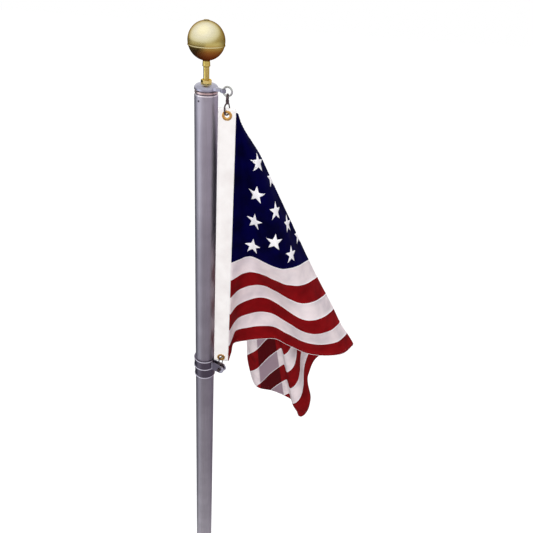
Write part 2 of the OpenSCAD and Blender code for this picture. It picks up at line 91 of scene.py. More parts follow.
def meshPiece(name, vertices, faces, edges=()):
    mesh = bpy.data.meshes.new(name)
    mesh.from_pydata(vertices, edges, faces)
    mesh.polygons.foreach_set("use_smooth", [True] * len(mesh.polygons))
    piece = bpy.data.objects.new(name, mesh)
    scene.collection.objects.link(piece)
    return piece


def levelSquare(name, half, z):
    corners = [(-half, -half, z), (half, -half, z), (half, half, z), (-half, half, z)]
    return meshPiece(name, corners, [(0, 1, 2, 3)])


def ringPoints(around, radius):
    angles = [2 * math.pi * i / around for i in range(around)]
    return [(radius * math.cos(a), radius * math.sin(a)) for a in angles]


def ringFaces(rings, around, first=0):
    # quads between rings of vertices that follow one another
    faces = []
    for low in range(first, first + (rings - 1) * around, around):
        high = low + around
        faces += [(low + i, low + (i + 1) % around, high + (i + 1) % around, high + i) for i in range(around)]
    return faces


def bakeModifiers(piece):
    bpy.context.view_layer.update()
    graph = bpy.context.evaluated_depsgraph_get()
    mesh = bpy.data.meshes.new_from_object(piece.evaluated_get(graph), depsgraph=graph)
    piece.modifiers.clear()
    piece.data = mesh
    return piece


def fixNormals(piece):
    work = bmesh.new()
    work.from_mesh(piece.data)
    bmesh.ops.recalc_face_normals(work, faces=work.faces)
    work.to_mesh(piece.data)
    work.free()


# Camera: looks down on the pole's top from the front, with a slight roll; its place is from the rim
cameraView = {"lens": 38.0, "sensor": 36.0, "place": (0.1341, -1.0482, 0.2812), "down": 31.69, "roll": 4.12}
cameraData = bpy.data.cameras.new("camera")
cameraData.lens = cameraView["lens"]
cameraData.sensor_width = cameraView["sensor"]
camera = bpy.data.objects.new("camera", cameraData)
scene.collection.objects.link(camera)
pitch, roll = math.radians(cameraView["down"]), math.radians(cameraView["roll"])
ahead = Vector((0, math.cos(pitch), -math.sin(pitch)))
sideways, upright = Vector((1, 0, 0)), Vector((1, 0, 0)).cross(ahead)
cameraRight = math.cos(roll) * sideways + math.sin(roll) * upright
cameraUp = -math.sin(roll) * sideways + math.cos(roll) * upright
turn = Matrix((cameraRight, cameraUp, -ahead)).transposed().to_4x4()
camera.matrix_world = Matrix.Translation(Vector(cameraView["place"]) + rim) @ turn
scene.camera = camera
scene.view_settings.view_transform = "Standard"


# Studio: white surround for the camera and for gloss, soft light from over and behind, less from the front
studio = {
    "surround": 0.7, "floorGlow": 0.86, "floorPaint": "#909090", "floorHalf": 30, "floorDrop": 0.001,
    # places from the rim
    "aim": (0.12, 0, -0.25),
    "lamps": {
        "key": {"power": 260, "place": (-0.9, 1.5, 4.6), "size": 3.0},
        "fill": {"power": 175, "place": (-0.6, -5.0, 1.6), "size": 3.0},
    },
}


def seenWhite(tree, hidden, shown):
    # one strength for light on the object, another for the camera, gloss and clear parts
    path = addNode(tree, "ShaderNodeLightPath")
    seen = path.outputs["Is Camera Ray"]
    for ray in ("Is Glossy Ray", "Is Transmission Ray"):
        either = addNode(tree, "ShaderNodeMath", {"operation": "MAXIMUM"}, {0: seen, 1: path.outputs[ray]})
        seen = either.outputs[0]
    return addNode(tree, "ShaderNodeMapRange", {"To Min": hidden, "To Max": shown},
                   {"Value": seen}).outputs[0]


def buildStudio():
    world = bpy.data.worlds.new("studio")
    world.use_nodes = True
    tree = world.node_tree
    tree.nodes.clear()
    glow = addNode(tree, "ShaderNodeBackground", {"Color": (1, 1, 1, 1)},
                   {"Strength": seenWhite(tree, studio["surround"], 1.0)})
    addNode(tree, "ShaderNodeOutputWorld", {}, {"Surface": glow.outputs[0]})
    scene.world = world

    floor = levelSquare("floor", studio["floorHalf"], -studio["floorDrop"])
    material, tree = newMaterial("pale floor")
    paint = addNode(tree, "ShaderNodeBsdfDiffuse", {"Color": linear(studio["floorPaint"])})
    glow = addNode(tree, "ShaderNodeEmission", {"Color": (1, 1, 1, 1)},
                   {"Strength": seenWhite(tree, 0.0, studio["floorGlow"])})
    finishMaterial(tree, addNode(tree, "ShaderNodeAddShader", {}, {0: paint.outputs[0], 1: glow.outputs[0]}))
    floor.data.materials.append(material)

    aim = Vector(studio["aim"]) + rim
    for name, values in studio["lamps"].items():
        lamp = bpy.data.lights.new(name, "AREA")
        lamp.shape, lamp.size, lamp.energy = "DISK", values["size"], values["power"]
        holder = bpy.data.objects.new(name, lamp)
        scene.collection.objects.link(holder)
        place = Vector(values["place"]) + rim
        facing = (aim - place).to_track_quat("-Z", "Y").to_matrix().to_4x4()
        holder.matrix_world = Matrix.Translation(place) @ facing
        holder.visible_glossy = False


# Cards that only gloss sees: ground and sky round the ball, and a round wall that is bright to the tube's left
cards = {
    "groundRise": 0.0575, "groundHalf": 1.6, "groundReach": 0.3,
    # share of the way out from the axis, and the tone there
    "groundTones": ((0.07, "#773a1f"), (0.12, "#905834"), (0.15, "#9a6939"), (0.21, "#b59764"),
                    (0.55, "#dcd5ad"), (1.0, "#c8bd96")),
    # metres between which the ground's glow changes, then its strength at each
    "groundFades": {"left": (-0.032, 0.010, 0.1, 1.0), "near": (0.05, 0.14, 0.0, 0.75),
                    "back": (-0.05, 0.1, 1.0, 0.4)},
    "skyRadius": 0.6, "skyRows": 12, "skyAround": 32, "skyLight": (-0.23, -0.3, 0.93), "skyPower": 1.6,
    # cosine to the brightest spot from -1 to 1 as a share, and the tone there
    "skyTones": ((0.26, "#523f2b"), (0.36, "#7d6d4f"), (0.53, "#948964"), (0.62, "#b8b7b4"),
                 (0.71, "#c9cbd4"), (0.82, "#ced2ea"), (0.9, "#d8dcfa"), (0.98, "#e8ebff")),
    "wallRadius": 2.2, "wallDrop": 0.1, "wallAround": 48, "wallPower": 1.8, "wallReach": 4.0,
    # share of the way down from the rim, and the tone there
    "wallRises": ((0.15, "#ffffff"), (0.26, "#dedede"), (0.40, "#adadad"), (0.60, "#adadad"),
                  (0.85, "#9e9e9e")),
    # degrees from the front towards the right, and the tone there
    "wallTones": ((-180, "#30343a"), (-125, "#22272e"), (-104, "#454b54"), (-90, "#9ca1ac"),
                  (-76, "#eef0fb"), (-55, "#f6f8ff"), (-41, "#c4bfc8"), (-25, "#a8a0a8"), (0, "#a49ca4"),
                  (45, "#b0a7b3"), (90, "#aca3b1"), (140, "#988d9e"), (180, "#30343a")),
}


def finishCard(tree, glow, clearWhen):
    clear = addNode(tree, "ShaderNodeBsdfTransparent")
    finishMaterial(tree, addNode(tree, "ShaderNodeMixShader", {}, {
        0: clearWhen, 1: glow.outputs[0], 2: clear.outputs[0]}))


def groundMaterial():
    material, tree = newMaterial("ground card")
    coords = addNode(tree, "ShaderNodeTexCoord")
    level = addNode(tree, "ShaderNodeVectorMath", {"operation": "MULTIPLY", 1: (1, 1, 0)},
                    {0: coords.outputs["Object"]})
    length = addNode(tree, "ShaderNodeVectorMath", {"operation": "LENGTH"}, {0: level.outputs[0]})
    reach = length.outputs["Value"]
    share = addNode(tree, "ShaderNodeMapRange", {"From Max": cards["groundReach"]}, {"Value": reach})
    tone = addNode(tree, "ShaderNodeValToRGB", {"stops": cards["groundTones"]}, {0: share.outputs[0]})
    split = addNode(tree, "ShaderNodeSeparateXYZ", {}, {0: coords.outputs["Object"]})
    fades = {"left": split.outputs[0], "near": reach, "back": split.outputs[1]}
    for name, place in fades.items():
        start, end, first, last = cards["groundFades"][name]
        fade = addNode(tree, "ShaderNodeMapRange", {
            "From Min": start, "From Max": end, "To Min": first, "To Max": last}, {"Value": place})
        fades[name] = fade.outputs[0]
    side = addNode(tree, "ShaderNodeMath", {"operation": "MAXIMUM"}, {0: fades["left"], 1: fades["near"]})
    power = addNode(tree, "ShaderNodeMath", {"operation": "MULTIPLY"}, {0: side.outputs[0], 1: fades["back"]})
    glow = addNode(tree, "ShaderNodeEmission", {}, {"Color": tone.outputs[0], "Strength": power.outputs[0]})
    finishCard(tree, glow, addNode(tree, "ShaderNodeNewGeometry").outputs["Backfacing"])
    return material


def skyMaterial():
    # rays that came up through the ground card pass, so only the ball sees this sky
    material, tree = newMaterial("sky card")
    coords = addNode(tree, "ShaderNodeTexCoord")
    middle, brightest = (0, 0, rimZ + cards["groundRise"]), Vector(cards["skyLight"]).normalized()
    away = addNode(tree, "ShaderNodeVectorMath", {"operation": "SUBTRACT", 1: middle},
                   {0: coords.outputs["Object"]})
    way = addNode(tree, "ShaderNodeVectorMath", {"operation": "NORMALIZE"}, {0: away.outputs[0]})
    lit = addNode(tree, "ShaderNodeVectorMath", {"operation": "DOT_PRODUCT", 1: brightest},
                  {0: way.outputs[0]})
    share = addNode(tree, "ShaderNodeMapRange", {"From Min": -1.0, "From Max": 1.0},
                    {"Value": lit.outputs["Value"]})
    tone = addNode(tree, "ShaderNodeValToRGB", {"stops": cards["skyTones"]}, {0: share.outputs[0]})
    glow = addNode(tree, "ShaderNodeEmission", {"Strength": cards["skyPower"]}, {"Color": tone.outputs[0]})
    passed = addNode(tree, "ShaderNodeMath", {"operation": "GREATER_THAN", 1: 0.5},
                     {0: addNode(tree, "ShaderNodeLightPath").outputs["Transparent Depth"]})
    finishCard(tree, glow, passed.outputs[0])
    return material


def wallMaterial():
    material, tree = newMaterial("wall card")
    coords = addNode(tree, "ShaderNodeTexCoord")
    split = addNode(tree, "ShaderNodeSeparateXYZ", {}, {0: coords.outputs["Object"]})
    front = addNode(tree, "ShaderNodeMath", {"operation": "MULTIPLY", 1: -1.0}, {0: split.outputs[1]})
    angle = addNode(tree, "ShaderNodeMath", {"operation": "ARCTAN2"},
                    {0: split.outputs[0], 1: front.outputs[0]})
    share = addNode(tree, "ShaderNodeMapRange", {"From Min": -math.pi, "From Max": math.pi},
                    {"Value": angle.outputs[0]})
    stops = [((degrees + 180) / 360, colour) for degrees, colour in cards["wallTones"]]
    tone = addNode(tree, "ShaderNodeValToRGB", {"stops": stops}, {0: share.outputs[0]})
    down = addNode(tree, "ShaderNodeMapRange", {"From Min": rimZ, "From Max": rimZ - cards["wallReach"]},
                   {"Value": split.outputs[2]})
    rise = addNode(tree, "ShaderNodeValToRGB", {"stops": cards["wallRises"]}, {0: down.outputs[0]})
    power = addNode(tree, "ShaderNodeMath", {"operation": "MULTIPLY", 1: cards["wallPower"]},
                    {0: rise.outputs[0]})
    finishMaterial(tree, addNode(tree, "ShaderNodeEmission", {}, {
        "Color": tone.outputs[0], "Strength": power.outputs[0]}))
    return material


def buildCards():
    groundZ = rimZ + cards["groundRise"]
    ground = levelSquare("groundCard", cards["groundHalf"], groundZ)
    around = cards["wallAround"]
    ring = ringPoints(around, cards["wallRadius"])
    wallSpots = [(x, y, z) for z in (0, rimZ - cards["wallDrop"]) for x, y in ring]
    wall = meshPiece("wallCard", wallSpots, [face[::-1] for face in ringFaces(2, around)])
    rows, around, radius = cards["skyRows"], cards["skyAround"], cards["skyRadius"]
    dome = []
    for k in range(rows):
        rise = 0.5 * math.pi * k / rows
        ring = ringPoints(around, radius * math.cos(rise))
        dome += [(x, y, groundZ + radius * math.sin(rise)) for x, y in ring]
    last, top = (rows - 1) * around, rows * around
    peak = [(last + i, last + (i + 1) % around, top) for i in range(around)]
    sky = meshPiece("skyCard", dome + [(0, 0, groundZ + radius)], ringFaces(rows, around) + peak)
    for card, material in ((ground, groundMaterial()), (wall, wallMaterial()), (sky, skyMaterial())):
        card.data.materials.append(material)
        card.visible_camera = card.visible_diffuse = card.visible_shadow = card.visible_transmission = False


buildStudio()
buildCards()
print("studio ready")


# Metals
def metalMaterial(name, colour, worn, roughness, streak, grain, bareAndPaintedLight=(), grazing="#ffffff"):
    # streak and grain are pattern sizes in millimetres, along and across
    # the bands of another tone, for a bare cut end and for painted highlights and shade, each give what is
    # measured, metres where it starts and is full, and the tone
    material, tree = newMaterial(name)
    coords = addNode(tree, "ShaderNodeTexCoord")
    lay = addNode(tree, "ShaderNodeMapping", {"Scale": (1000 / grain, 1000 / grain, 1000 / streak)},
                  {"Vector": coords.outputs["Object"]})
    lines = addNode(tree, "ShaderNodeTexNoise", {"Scale": 1.0, "Detail": 4.0, "Roughness": 0.6},
                    {"Vector": lay.outputs[0]})
    # worn patches some 45 mm wide
    patches = addNode(tree, "ShaderNodeTexNoise", {"Scale": 22.0, "Detail": 3.0},
                      {"Vector": coords.outputs["Object"]})
    both = addNode(tree, "ShaderNodeMath", {"operation": "MULTIPLY"},
                   {0: lines.outputs[0], 1: patches.outputs[0]})
    share = addNode(tree, "ShaderNodeMapRange", {"From Min": 0.12, "From Max": 0.42},
                    {"Value": both.outputs[0]})
    tone = addNode(tree, "ShaderNodeMix", {"data_type": "RGBA", 6: linear(worn), 7: linear(colour)},
                   {0: share.outputs[0]})
    level = addNode(tree, "ShaderNodeVectorMath", {"operation": "MULTIPLY", 1: (1, 1, 0)},
                    {0: coords.outputs["Object"]})
    reach = addNode(tree, "ShaderNodeVectorMath", {"operation": "LENGTH"}, {0: level.outputs[0]})
    split = addNode(tree, "ShaderNodeSeparateXYZ", {}, {0: coords.outputs["Object"]})
    measures = {"radius": reach.outputs["Value"], "height": split.outputs[2]}
    for measure, start, full, bright in bareAndPaintedLight:
        edge = addNode(tree, "ShaderNodeMapRange", {"From Min": start, "From Max": full},
                       {"Value": measures[measure]})
        tone = addNode(tree, "ShaderNodeMix", {"data_type": "RGBA", 7: linear(bright)},
                       {0: edge.outputs[0], 6: tone.outputs[2]})
    gloss = addNode(tree, "ShaderNodeMapRange", {"To Min": roughness + 0.08, "To Max": roughness - 0.05},
                    {"Value": lines.outputs[0]})
    relief = addNode(tree, "ShaderNodeBump", {"Strength": 0.05, "Distance": 0.0004},
                     {"Height": lines.outputs[0]})
    finishMaterial(tree, addNode(
        tree, "ShaderNodeBsdfPrincipled", {"Metallic": 1.0, "Specular Tint": linear(grazing)},
        {"Base Color": tone.outputs[2], "Roughness": gloss.outputs[0], "Normal": relief.outputs[0]}))
    return material


metals = {
    # drawn tube, clear anodised: satin grey with a lilac cast and faint lines along it; its cut end bare and
    # bright, with a painted highlight on the outside just under the rim
    "anodised aluminium tube": ("#bcb8c0", "#aaa5ae", 0.42, 60, 1.6, (
        ("height", rimZ - 0.0022, rimZ - 0.0016, "#fbf4f4"),)),
    # cast plugs and bolts: dark grey, slightly grainy
    "cast aluminium": ("#6f6974", "#59535e", 0.34, 3, 3),
    # cast collar: dark purple grey band and ears, with painted highlights on its rolled lips and the ears'
    # ends
    "cast aluminium collar": ("#7a7180", "#675f6d", 0.34, 3, 3, (
        ("radius", 0.0251, 0.0255, "#d6d3de"), ("radius", 0.0270, 0.0280, "#77707e"),
        ("radius", 0.047, 0.052, "#c9c7d3"))),
    # cast stop ring: the same, with a painted highlight on its lower lip
    "cast aluminium ring": ("#7a7180", "#675f6d", 0.34, 3, 3, (("radius", 0.0238, 0.0242, "#d6d3de"),)),
    # bearing ring: lapped metal with a faint copper cast
    "bearing metal": ("#d9c3bc", "#c4aaa4", 0.3, 1.2, 9),
    # turned cap: cool light grey with fine turning marks, its arm painted a darker grey as shade
    "turned aluminium": ("#b7b6c4", "#a09fae", 0.3, 1.2, 9, (("radius", 0.0255, 0.0285, "#92929f"),)),
    # spun ball, gold anodised: pale soft gold with faint spinning rings
    "gold anodised aluminium": ("#e8ddae", "#ded29c", 0.24, 1.2, 12, (), "#b48a48"),
    # stem and ball neck in yellow brass: a deeper gold than the ball
    "yellow brass": ("#dccd7c", "#b89c46", 0.26, 1.5, 4, (), "#a87c34"),
    # lock nut in polished brass, its colour also painted lighter than the stem's as light
    "polished brass painted light": ("#fdf0a4", "#ead272", 0.2, 1.5, 4, (), "#c8a050"),
    # hanging ring: bright zinc on steel, its tone also painted lighter than the hooks' as light
    "zinc wire painted light": ("#d6d8d3", "#8f918c", 0.16, 3, 3),
    # snap hooks: the same wire, painted a darker, warmer grey as shade
    "zinc wire painted as shade": ("#756868", "#3e3232", 0.14, 3, 3),
    # stamped grommets in red brass, polished
    "red brass": ("#f2c878", "#bd7d30", 0.17, 2, 2),
}
metalLooks = {name: metalMaterial(name, *values) for name, values in metals.items()}
finishes = {"anodised_tube": "anodised aluminium tube", "cast_fitting": "cast aluminium",
            "bright_fitting": "turned aluminium", "gold_ball": "gold anodised aluminium",
            "gold_stem": "yellow brass", "galvanised_wire": "zinc wire painted as shade", "brass_grommet": "red brass"}
ownFinish = {"swivel_collar": "cast aluminium collar", "stop_ring": "cast aluminium ring",
             "bearing_ring": "bearing metal", "ball_neck": "yellow brass", "lock_nut": "polished brass painted light",
             "hanging_ring": "zinc wire painted light"}
for part in frame["record"]["subparts"]:
    finish = ownFinish.get(part["node"], finishes.get(part["material_slot"]))
    if finish:
        slots = nodes[part["node"]].data.materials
        slots.clear()
        slots.append(metalLooks[finish])
print("metals on", len(metalLooks), "finishes")


# Rivet: a small dark dome high on the tube's left front
rivet = {"radius": 0.002, "height": 0.0009, "sunk": 0.0006, "turn": -32, "drop": 0.0104, "around": 20,
         "domeAngles": (0, 0.35, 0.7, 1.1)}  # radians up the dome at each ring


def buildRivet():
    turnAngle = math.radians(rivet["turn"])
    outward = Vector((math.sin(turnAngle), -math.cos(turnAngle), 0))
    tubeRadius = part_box("pole_tube")[1].x
    centre = outward * tubeRadius + rim - Vector((0, 0, rivet["drop"]))
    up, around = Vector((0, 0, 1)), rivet["around"]
    side = outward.cross(up)
    rings = [(1.0, -rivet["sunk"])]
    rings += [(math.cos(a), rivet["height"] * math.sin(a)) for a in rivet["domeAngles"]]
    vertices = [centre - outward * rivet["sunk"]]
    for share, out in rings:
        spots = ringPoints(around, rivet["radius"] * share)
        vertices += [centre + outward * out + x * side + y * up for x, y in spots]
    vertices.append(centre + outward * rivet["height"])
    last, top = 1 + (len(rings) - 1) * around, len(vertices) - 1
    faces = [(0, 1 + (i + 1) % around, 1 + i) for i in range(around)]
    faces += [(top, last + i, last + (i + 1) % around) for i in range(around)]
    piece = meshPiece("tubeRivet", vertices, faces + ringFaces(len(rings), around, 1))
    fixNormals(piece)
    piece.data.materials.append(metalLooks["cast aluminium"])
    return piece


tubeRivet = buildRivet()
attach(tubeRivet, "pole")
print("rivet set")


# Cloths
flagCloth = {
    # flat cloth and where it hangs, in metres
    "hoist": 0.602, "fly": 0.884, "tuck": 0.008, "drop": 0.008, "fanRise": 0.016, "standOff": 0.0015,
    "half": 0.0002, "seamHalf": 0.0005, "seam": 0.003, "seamEdge": 0.0008, "hem": 0.010, "flyHem": 0.022,
    "canton": 0.368, "stripes": 13, "cantonStripes": 7, "step": 0.004, "stripeSteps": 7, "foldSteps": 8,
    # shares of the hoist down to which the upper folds hold, and where the middle ones do
    "footLevel": 0.485, "midLevel": 0.766,
    # degrees on the flat cloth, round the fan point from the hoist; the last two give the strip painted darker
    # as shade where a second layer lies behind, and its soft edge
    "creaseAngle": 54.4, "crestAngle": 56, "endAngle": 91.5, "paintedShadeStrip": (57.1, 60.7), "paintedShadeStripSoft": 0.15,
    # small creases along the folds: height, rates by degree and metre, place in the noise, smooth top's reach
    "crease": 0.0011, "creaseRates": (0.35, 5), "creasePlace": 3.7, "creaseReach": 0.2,
    # top corner narrowed to a point, and the cloth drawn in along the heading
    "tipReach": 0.11, "tipNarrow": 0.8, "gather": 0.004, "gatherReach": 0.06,
    # tail's end curled to the fly: starts of its rise and fall in degrees, each with its spread
    "curl": 0.013, "curlFrom": 0.935, "curlReach": 0.055, "curlRise": (42, 6), "curlFall": (51, 3.5),
    "curlHem": 0.56, "curlHemReach": 0.03, "curlHemShare": 0.8,
    # bottom fly corner rolled to the back, across and down the cloth
    "rollFrom": 0.026, "rollRadius": 0.016, "rollWay": (0.45, 0.89),
}
wavePeriod = 0.314  # a wave texture at scale 1 repeats at this length


def paintedShadeStripShare(tree, flat):
    # 1 on the strip of cloth between two fold lines that is painted darker as shade, where a second layer lies
    # behind
    split = addNode(tree, "ShaderNodeSeparateXYZ", {}, {0: flat.outputs[0]})
    hoist = flagCloth["hoist"]
    out = addNode(tree, "ShaderNodeMath", {"operation": "MULTIPLY", 1: flagCloth["fly"]},
                  {0: split.outputs[0]})
    down = addNode(tree, "ShaderNodeMapRange", {"clamp": False, "To Min": hoist + flagCloth["fanRise"],
                                                "To Max": flagCloth["fanRise"]}, {"Value": split.outputs[1]})
    angle = addNode(tree, "ShaderNodeMath", {"operation": "ARCTAN2"}, {0: out.outputs[0], 1: down.outputs[0]})
    low, high = (math.radians(a) for a in flagCloth["paintedShadeStrip"])
    soft = math.radians(flagCloth["paintedShadeStripSoft"])
    rise = addNode(tree, "ShaderNodeMapRange", {"From Min": low, "From Max": low + soft},
                   {"Value": angle.outputs[0]})
    fall = addNode(tree, "ShaderNodeMapRange", {"From Min": high + soft, "From Max": high},
                   {"Value": angle.outputs[0]})
    return addNode(tree, "ShaderNodeMath", {"operation": "MULTIPLY"},
                   {0: rise.outputs[0], 1: fall.outputs[0]})


def clothMaterial(name, colour, shade, thread, shine, glow, paintedShadeStrip=None):
    # thread spacing in millimetres, drawn coarser than the real weave so that it shows
    material, tree = newMaterial(name)
    flat = addNode(tree, "ShaderNodeUVMap", {"uv_map": "flat"})
    threads = [1000 * flagCloth[side] / thread for side in ("fly", "hoist")]
    lay = addNode(tree, "ShaderNodeMapping", {"Scale": (*threads, 1)}, {"Vector": flat.outputs[0]})
    warp, weft = (
        addNode(tree, "ShaderNodeTexWave", {"bands_direction": way, "Scale": wavePeriod, "Distortion": 0.6},
                {"Vector": lay.outputs[0]})
        for way in "XY")
    weave = addNode(tree, "ShaderNodeMath", {"operation": "ADD"}, {0: warp.outputs[1], 1: weft.outputs[1]})
    coords = addNode(tree, "ShaderNodeTexCoord")
    # soft creases some 40 mm wide, that bump the cloth and are painted darker as shade in their hollows
    creases = addNode(tree, "ShaderNodeTexNoise", {"Scale": 26.0, "Detail": 3.0},
                      {"Vector": coords.outputs["Object"]})
    share = addNode(tree, "ShaderNodeMapRange", {"From Min": 0.3, "From Max": 0.62},
                    {"Value": creases.outputs[0]})
    tone = addNode(tree, "ShaderNodeMix", {"data_type": "RGBA", 6: linear(shade), 7: linear(colour)},
                   {0: share.outputs[0]})
    # painted shade on the strip where a second layer lies behind
    if paintedShadeStrip:
        tone = addNode(tree, "ShaderNodeMix", {"data_type": "RGBA", 7: linear(paintedShadeStrip)},
                       {0: paintedShadeStripShare(tree, flat).outputs[0], 6: tone.outputs[2]})
    rough = addNode(tree, "ShaderNodeBump", {"Strength": 0.25, "Distance": 0.0003},
                    {"Height": weave.outputs[0]})
    relief = addNode(tree, "ShaderNodeBump", {"Strength": 0.35, "Distance": 0.006},
                     {"Height": creases.outputs[0], "Normal": rough.outputs[0]})
    skin = addNode(tree, "ShaderNodeBsdfPrincipled", {"Roughness": 0.62, "Specular IOR Level": shine},
                   {"Base Color": tone.outputs[2], "Normal": relief.outputs[0]})
    through = addNode(tree, "ShaderNodeBsdfTranslucent", {}, {"Color": tone.outputs[2]})
    finishMaterial(tree, addNode(tree, "ShaderNodeMixShader", {0: glow},
                                 {1: skin.outputs[0], 2: through.outputs[0]}))
    return material


clothLooks = [clothMaterial(*values) for values in (
    # dyed woven nylon: deep red with little shine, lets some light through; painted shade in its creases and
    # on the strip where a second layer lies behind
    ("red nylon", "#9a1318", "#7c0d12", 2.4, 0.03, 0.25, "#5a0c12"),
    # undyed nylon: white, with painted shade in its creases and a faint pink grey painted shade on the strip
    # where a second layer lies behind
    ("white nylon", "#fff4f6", "#eadfe4", 2.4, 0.1, 0.25, "#b39ca9"),
    # navy nylon: nearly black blue, with painted shade in its creases and on the strip where a second layer
    # lies behind
    ("navy nylon", "#03013a", "#020122", 2.4, 0.02, 0.1, "#02011c"),
)]


# Flag: the folds run out of one point over the cloth's top corner, so the cloth is bent and hardly stretched.
# Each fold is degrees towards the fly and degrees to the back, at the top, in the middle and at the hem.
frontFolds = [
    [(0, 0), (2.6, 2.6), (5.2, 5.2), (7.6, 5.4), (12.2, 2.2), (15.6, 0.6), (18.6, 0.8), (22, 5.6),
     (23.4, 10.6), (24.2, 13.4)],
    [(0, 0), (1.4, 4.6), (3.6, 7.2), (7, 9.4), (9.4, 9.6), (12, 8.4), (14.6, 6.4), (17, 4.6), (19.2, 3.8),
     (21.4, 4.4), (23.4, 7), (24.6, 10.6), (25, 13.4)],
    [(0, 0), (0.3, 3), (0.4, 6.2), (1.8, 7.3), (4, 8.2), (6.8, 9.2), (10, 9.7), (13, 8.4), (16.8, 6.9),
     (20.6, 7), (23.6, 8.2), (25.2, 10.8), (25.6, 13.4)],
]
# Behind, the cloth turns back to the tail's crease, steps to its crest and runs out to the top edge
turnFolds = [(23.6, 15.4), (20, 17), (16.4, 17.4), (14.6, 16), (13.8, 14.6), (13.4, 13), (12.8, 11.9),
             (11.9, 11.5), (11, 11.9)]
stepFolds = [(10.6, 13.8), (10.2, 15.4)]
tailFolds = [(9.2, 16), (7, 16.4), (4.2, 16.4), (2.8, 18.8), (2.1, 22), (3.2, 25.4), (8, 27.4), (13, 28),
             (17, 29.4), (17, 32), (13, 33), (8, 33.4)]
fanPoint = Vector((headingHigh.x + flagCloth["standOff"], (headingLow.y + headingHigh.y) / 2,
                   headingHigh.z - flagCloth["drop"] + flagCloth["fanRise"]))


def foldTable(front):
    # a smooth curve through the folds, and the angle on the flat cloth at each of its points
    folds = [Vector(f) for f in front + turnFolds + stepFolds + tailFolds]
    steps, final = flagCloth["foldSteps"], len(folds) - 1
    path = []
    for i in range(final):
        a, b, c, d = (folds[min(max(i + k, 0), final)] for k in (-1, 0, 1, 2))
        for t in (k / steps for k in range(steps)):
            path.append(0.5 * (2 * b + (c - a) * t + (2 * a - 5 * b + 4 * c - d) * t ** 2
                               + (3 * b - a - 3 * c + d) * t ** 3))
    path.append(folds[-1])
    arcs = [0.0]
    for p, q in zip(path, path[1:]):
        arcs.append(arcs[-1] + math.hypot((q.x - p.x) * math.cos(math.radians((p.y + q.y) / 2)), q.y - p.y))
    # every level reaches the crease, the crest and the end at the same angle on the flat cloth
    turnAt = steps * (len(front) - 1)
    creaseAt = turnAt + steps * len(turnFolds)
    crestAt = creaseAt + steps * len(stepFolds)
    pins = [(0, 0.0), (turnAt, arcs[turnAt]), (creaseAt, flagCloth["creaseAngle"]),
            (crestAt, flagCloth["crestAngle"]), (len(path) - 1, flagCloth["endAngle"])]
    runs = []
    for (i, low), (j, high) in zip(pins, pins[1:]):
        runs += [low + (high - low) * (arcs[k] - arcs[i]) / (arcs[j] - arcs[i]) for k in range(i, j)]
    return runs + [flagCloth["endAngle"]], path


foldTables = [foldTable(front) for front in frontFolds]


def foldWay(table, angle):
    runs, path = table
    i = min(max(bisect.bisect(runs, angle) - 1, 0), len(runs) - 2)
    return path[i].lerp(path[i + 1], min(max((angle - runs[i]) / (runs[i + 1] - runs[i]), 0), 1))


def ease(t):
    t = min(max(t, 0), 1)
    return t * t * (3 - 2 * t)


def tailCurl(along, angle, v):
    # how far the tail's end moves to the fly, less above its hem
    riseFrom, riseSpread = flagCloth["curlRise"]
    fallFrom, fallSpread = flagCloth["curlFall"]
    kept = flagCloth["curlHemShare"] * ease((v - flagCloth["curlHem"]) / flagCloth["curlHemReach"])
    fall = ease((angle - fallFrom) / fallSpread) * (1 - kept)
    reach = ease((along - flagCloth["curlFrom"]) / flagCloth["curlReach"])
    return flagCloth["curl"] * reach * ease((angle - riseFrom) / riseSpread) * (1 - fall)


def clothPoint(u, v):
    # u runs from the heading to the fly, v down from the top edge; the bottom fly corner rolls to the back
    hoist, radius = flagCloth["hoist"], flagCloth["rollRadius"]
    rollAcross, rollDown = flagCloth["rollWay"]
    past = max(flagCloth["rollFrom"] + (u - flagCloth["fly"]) * rollAcross + (v - hoist) * rollDown, 0)
    back = past - radius * math.sin(past / radius)
    u, v = u - back * rollAcross, v - back * rollDown
    gather = flagCloth["gather"] * v / hoist * (1 - ease(u / flagCloth["gatherReach"]))
    down = v + flagCloth["fanRise"] - gather
    along, angle = math.hypot(max(u, 0), down), math.degrees(math.atan2(max(u, 0), down))
    foot, mid = flagCloth["footLevel"] * hoist, flagCloth["midLevel"] * hoist
    way = foldWay(foldTables[0], angle).lerp(foldWay(foldTables[1], angle), ease((v - foot) / (mid - foot)))
    way = way.lerp(foldWay(foldTables[2], angle), ease((v - mid) / (hoist - mid)))
    # the folds draw together at the top corner
    tight = 1 - min(max((along - flagCloth["fanRise"]) / flagCloth["tipReach"], 0), 1)
    a, b = math.radians(way.x * (1 - flagCloth["tipNarrow"] * tight ** 2)), math.radians(way.y)
    point = fanPoint + along * Vector((math.sin(a) * math.cos(b), math.sin(b), -math.cos(a) * math.cos(b)))
    return point + Vector((min(u, 0) + tailCurl(along, angle, v), radius * (1 - math.cos(past / radius)), 0))


def clothLines():
    # grid lines on the flat cloth, close together at seams and hems
    stripe, steps = flagCloth["hoist"] / flagCloth["stripes"], flagCloth["stripeSteps"]
    seam, edge = flagCloth["seam"], flagCloth["seamEdge"]
    down = []
    for k in range(flagCloth["stripes"]):
        top = k * stripe
        first = flagCloth["hem"] if k == 0 else seam
        last = flagCloth["hem"] if k == flagCloth["stripes"] - 1 else seam
        plain = stripe - first - last - 2 * edge
        down += [top, top + first * 0.5, top + first]
        down += [top + first + edge + plain * i / steps for i in range(steps + 1)]
        down += [top + stripe - last, top + stripe - last * 0.5]
    down.append(flagCloth["hoist"])
    count = round(flagCloth["fly"] / flagCloth["step"])
    across = [-flagCloth["tuck"], -flagCloth["tuck"] / 2] + [i * flagCloth["step"] for i in range(count + 1)]
    hemLine, canton = flagCloth["fly"] - flagCloth["flyHem"], flagCloth["canton"]
    return sorted(set(across + [hemLine, hemLine - edge, canton - seam, canton + seam])), down


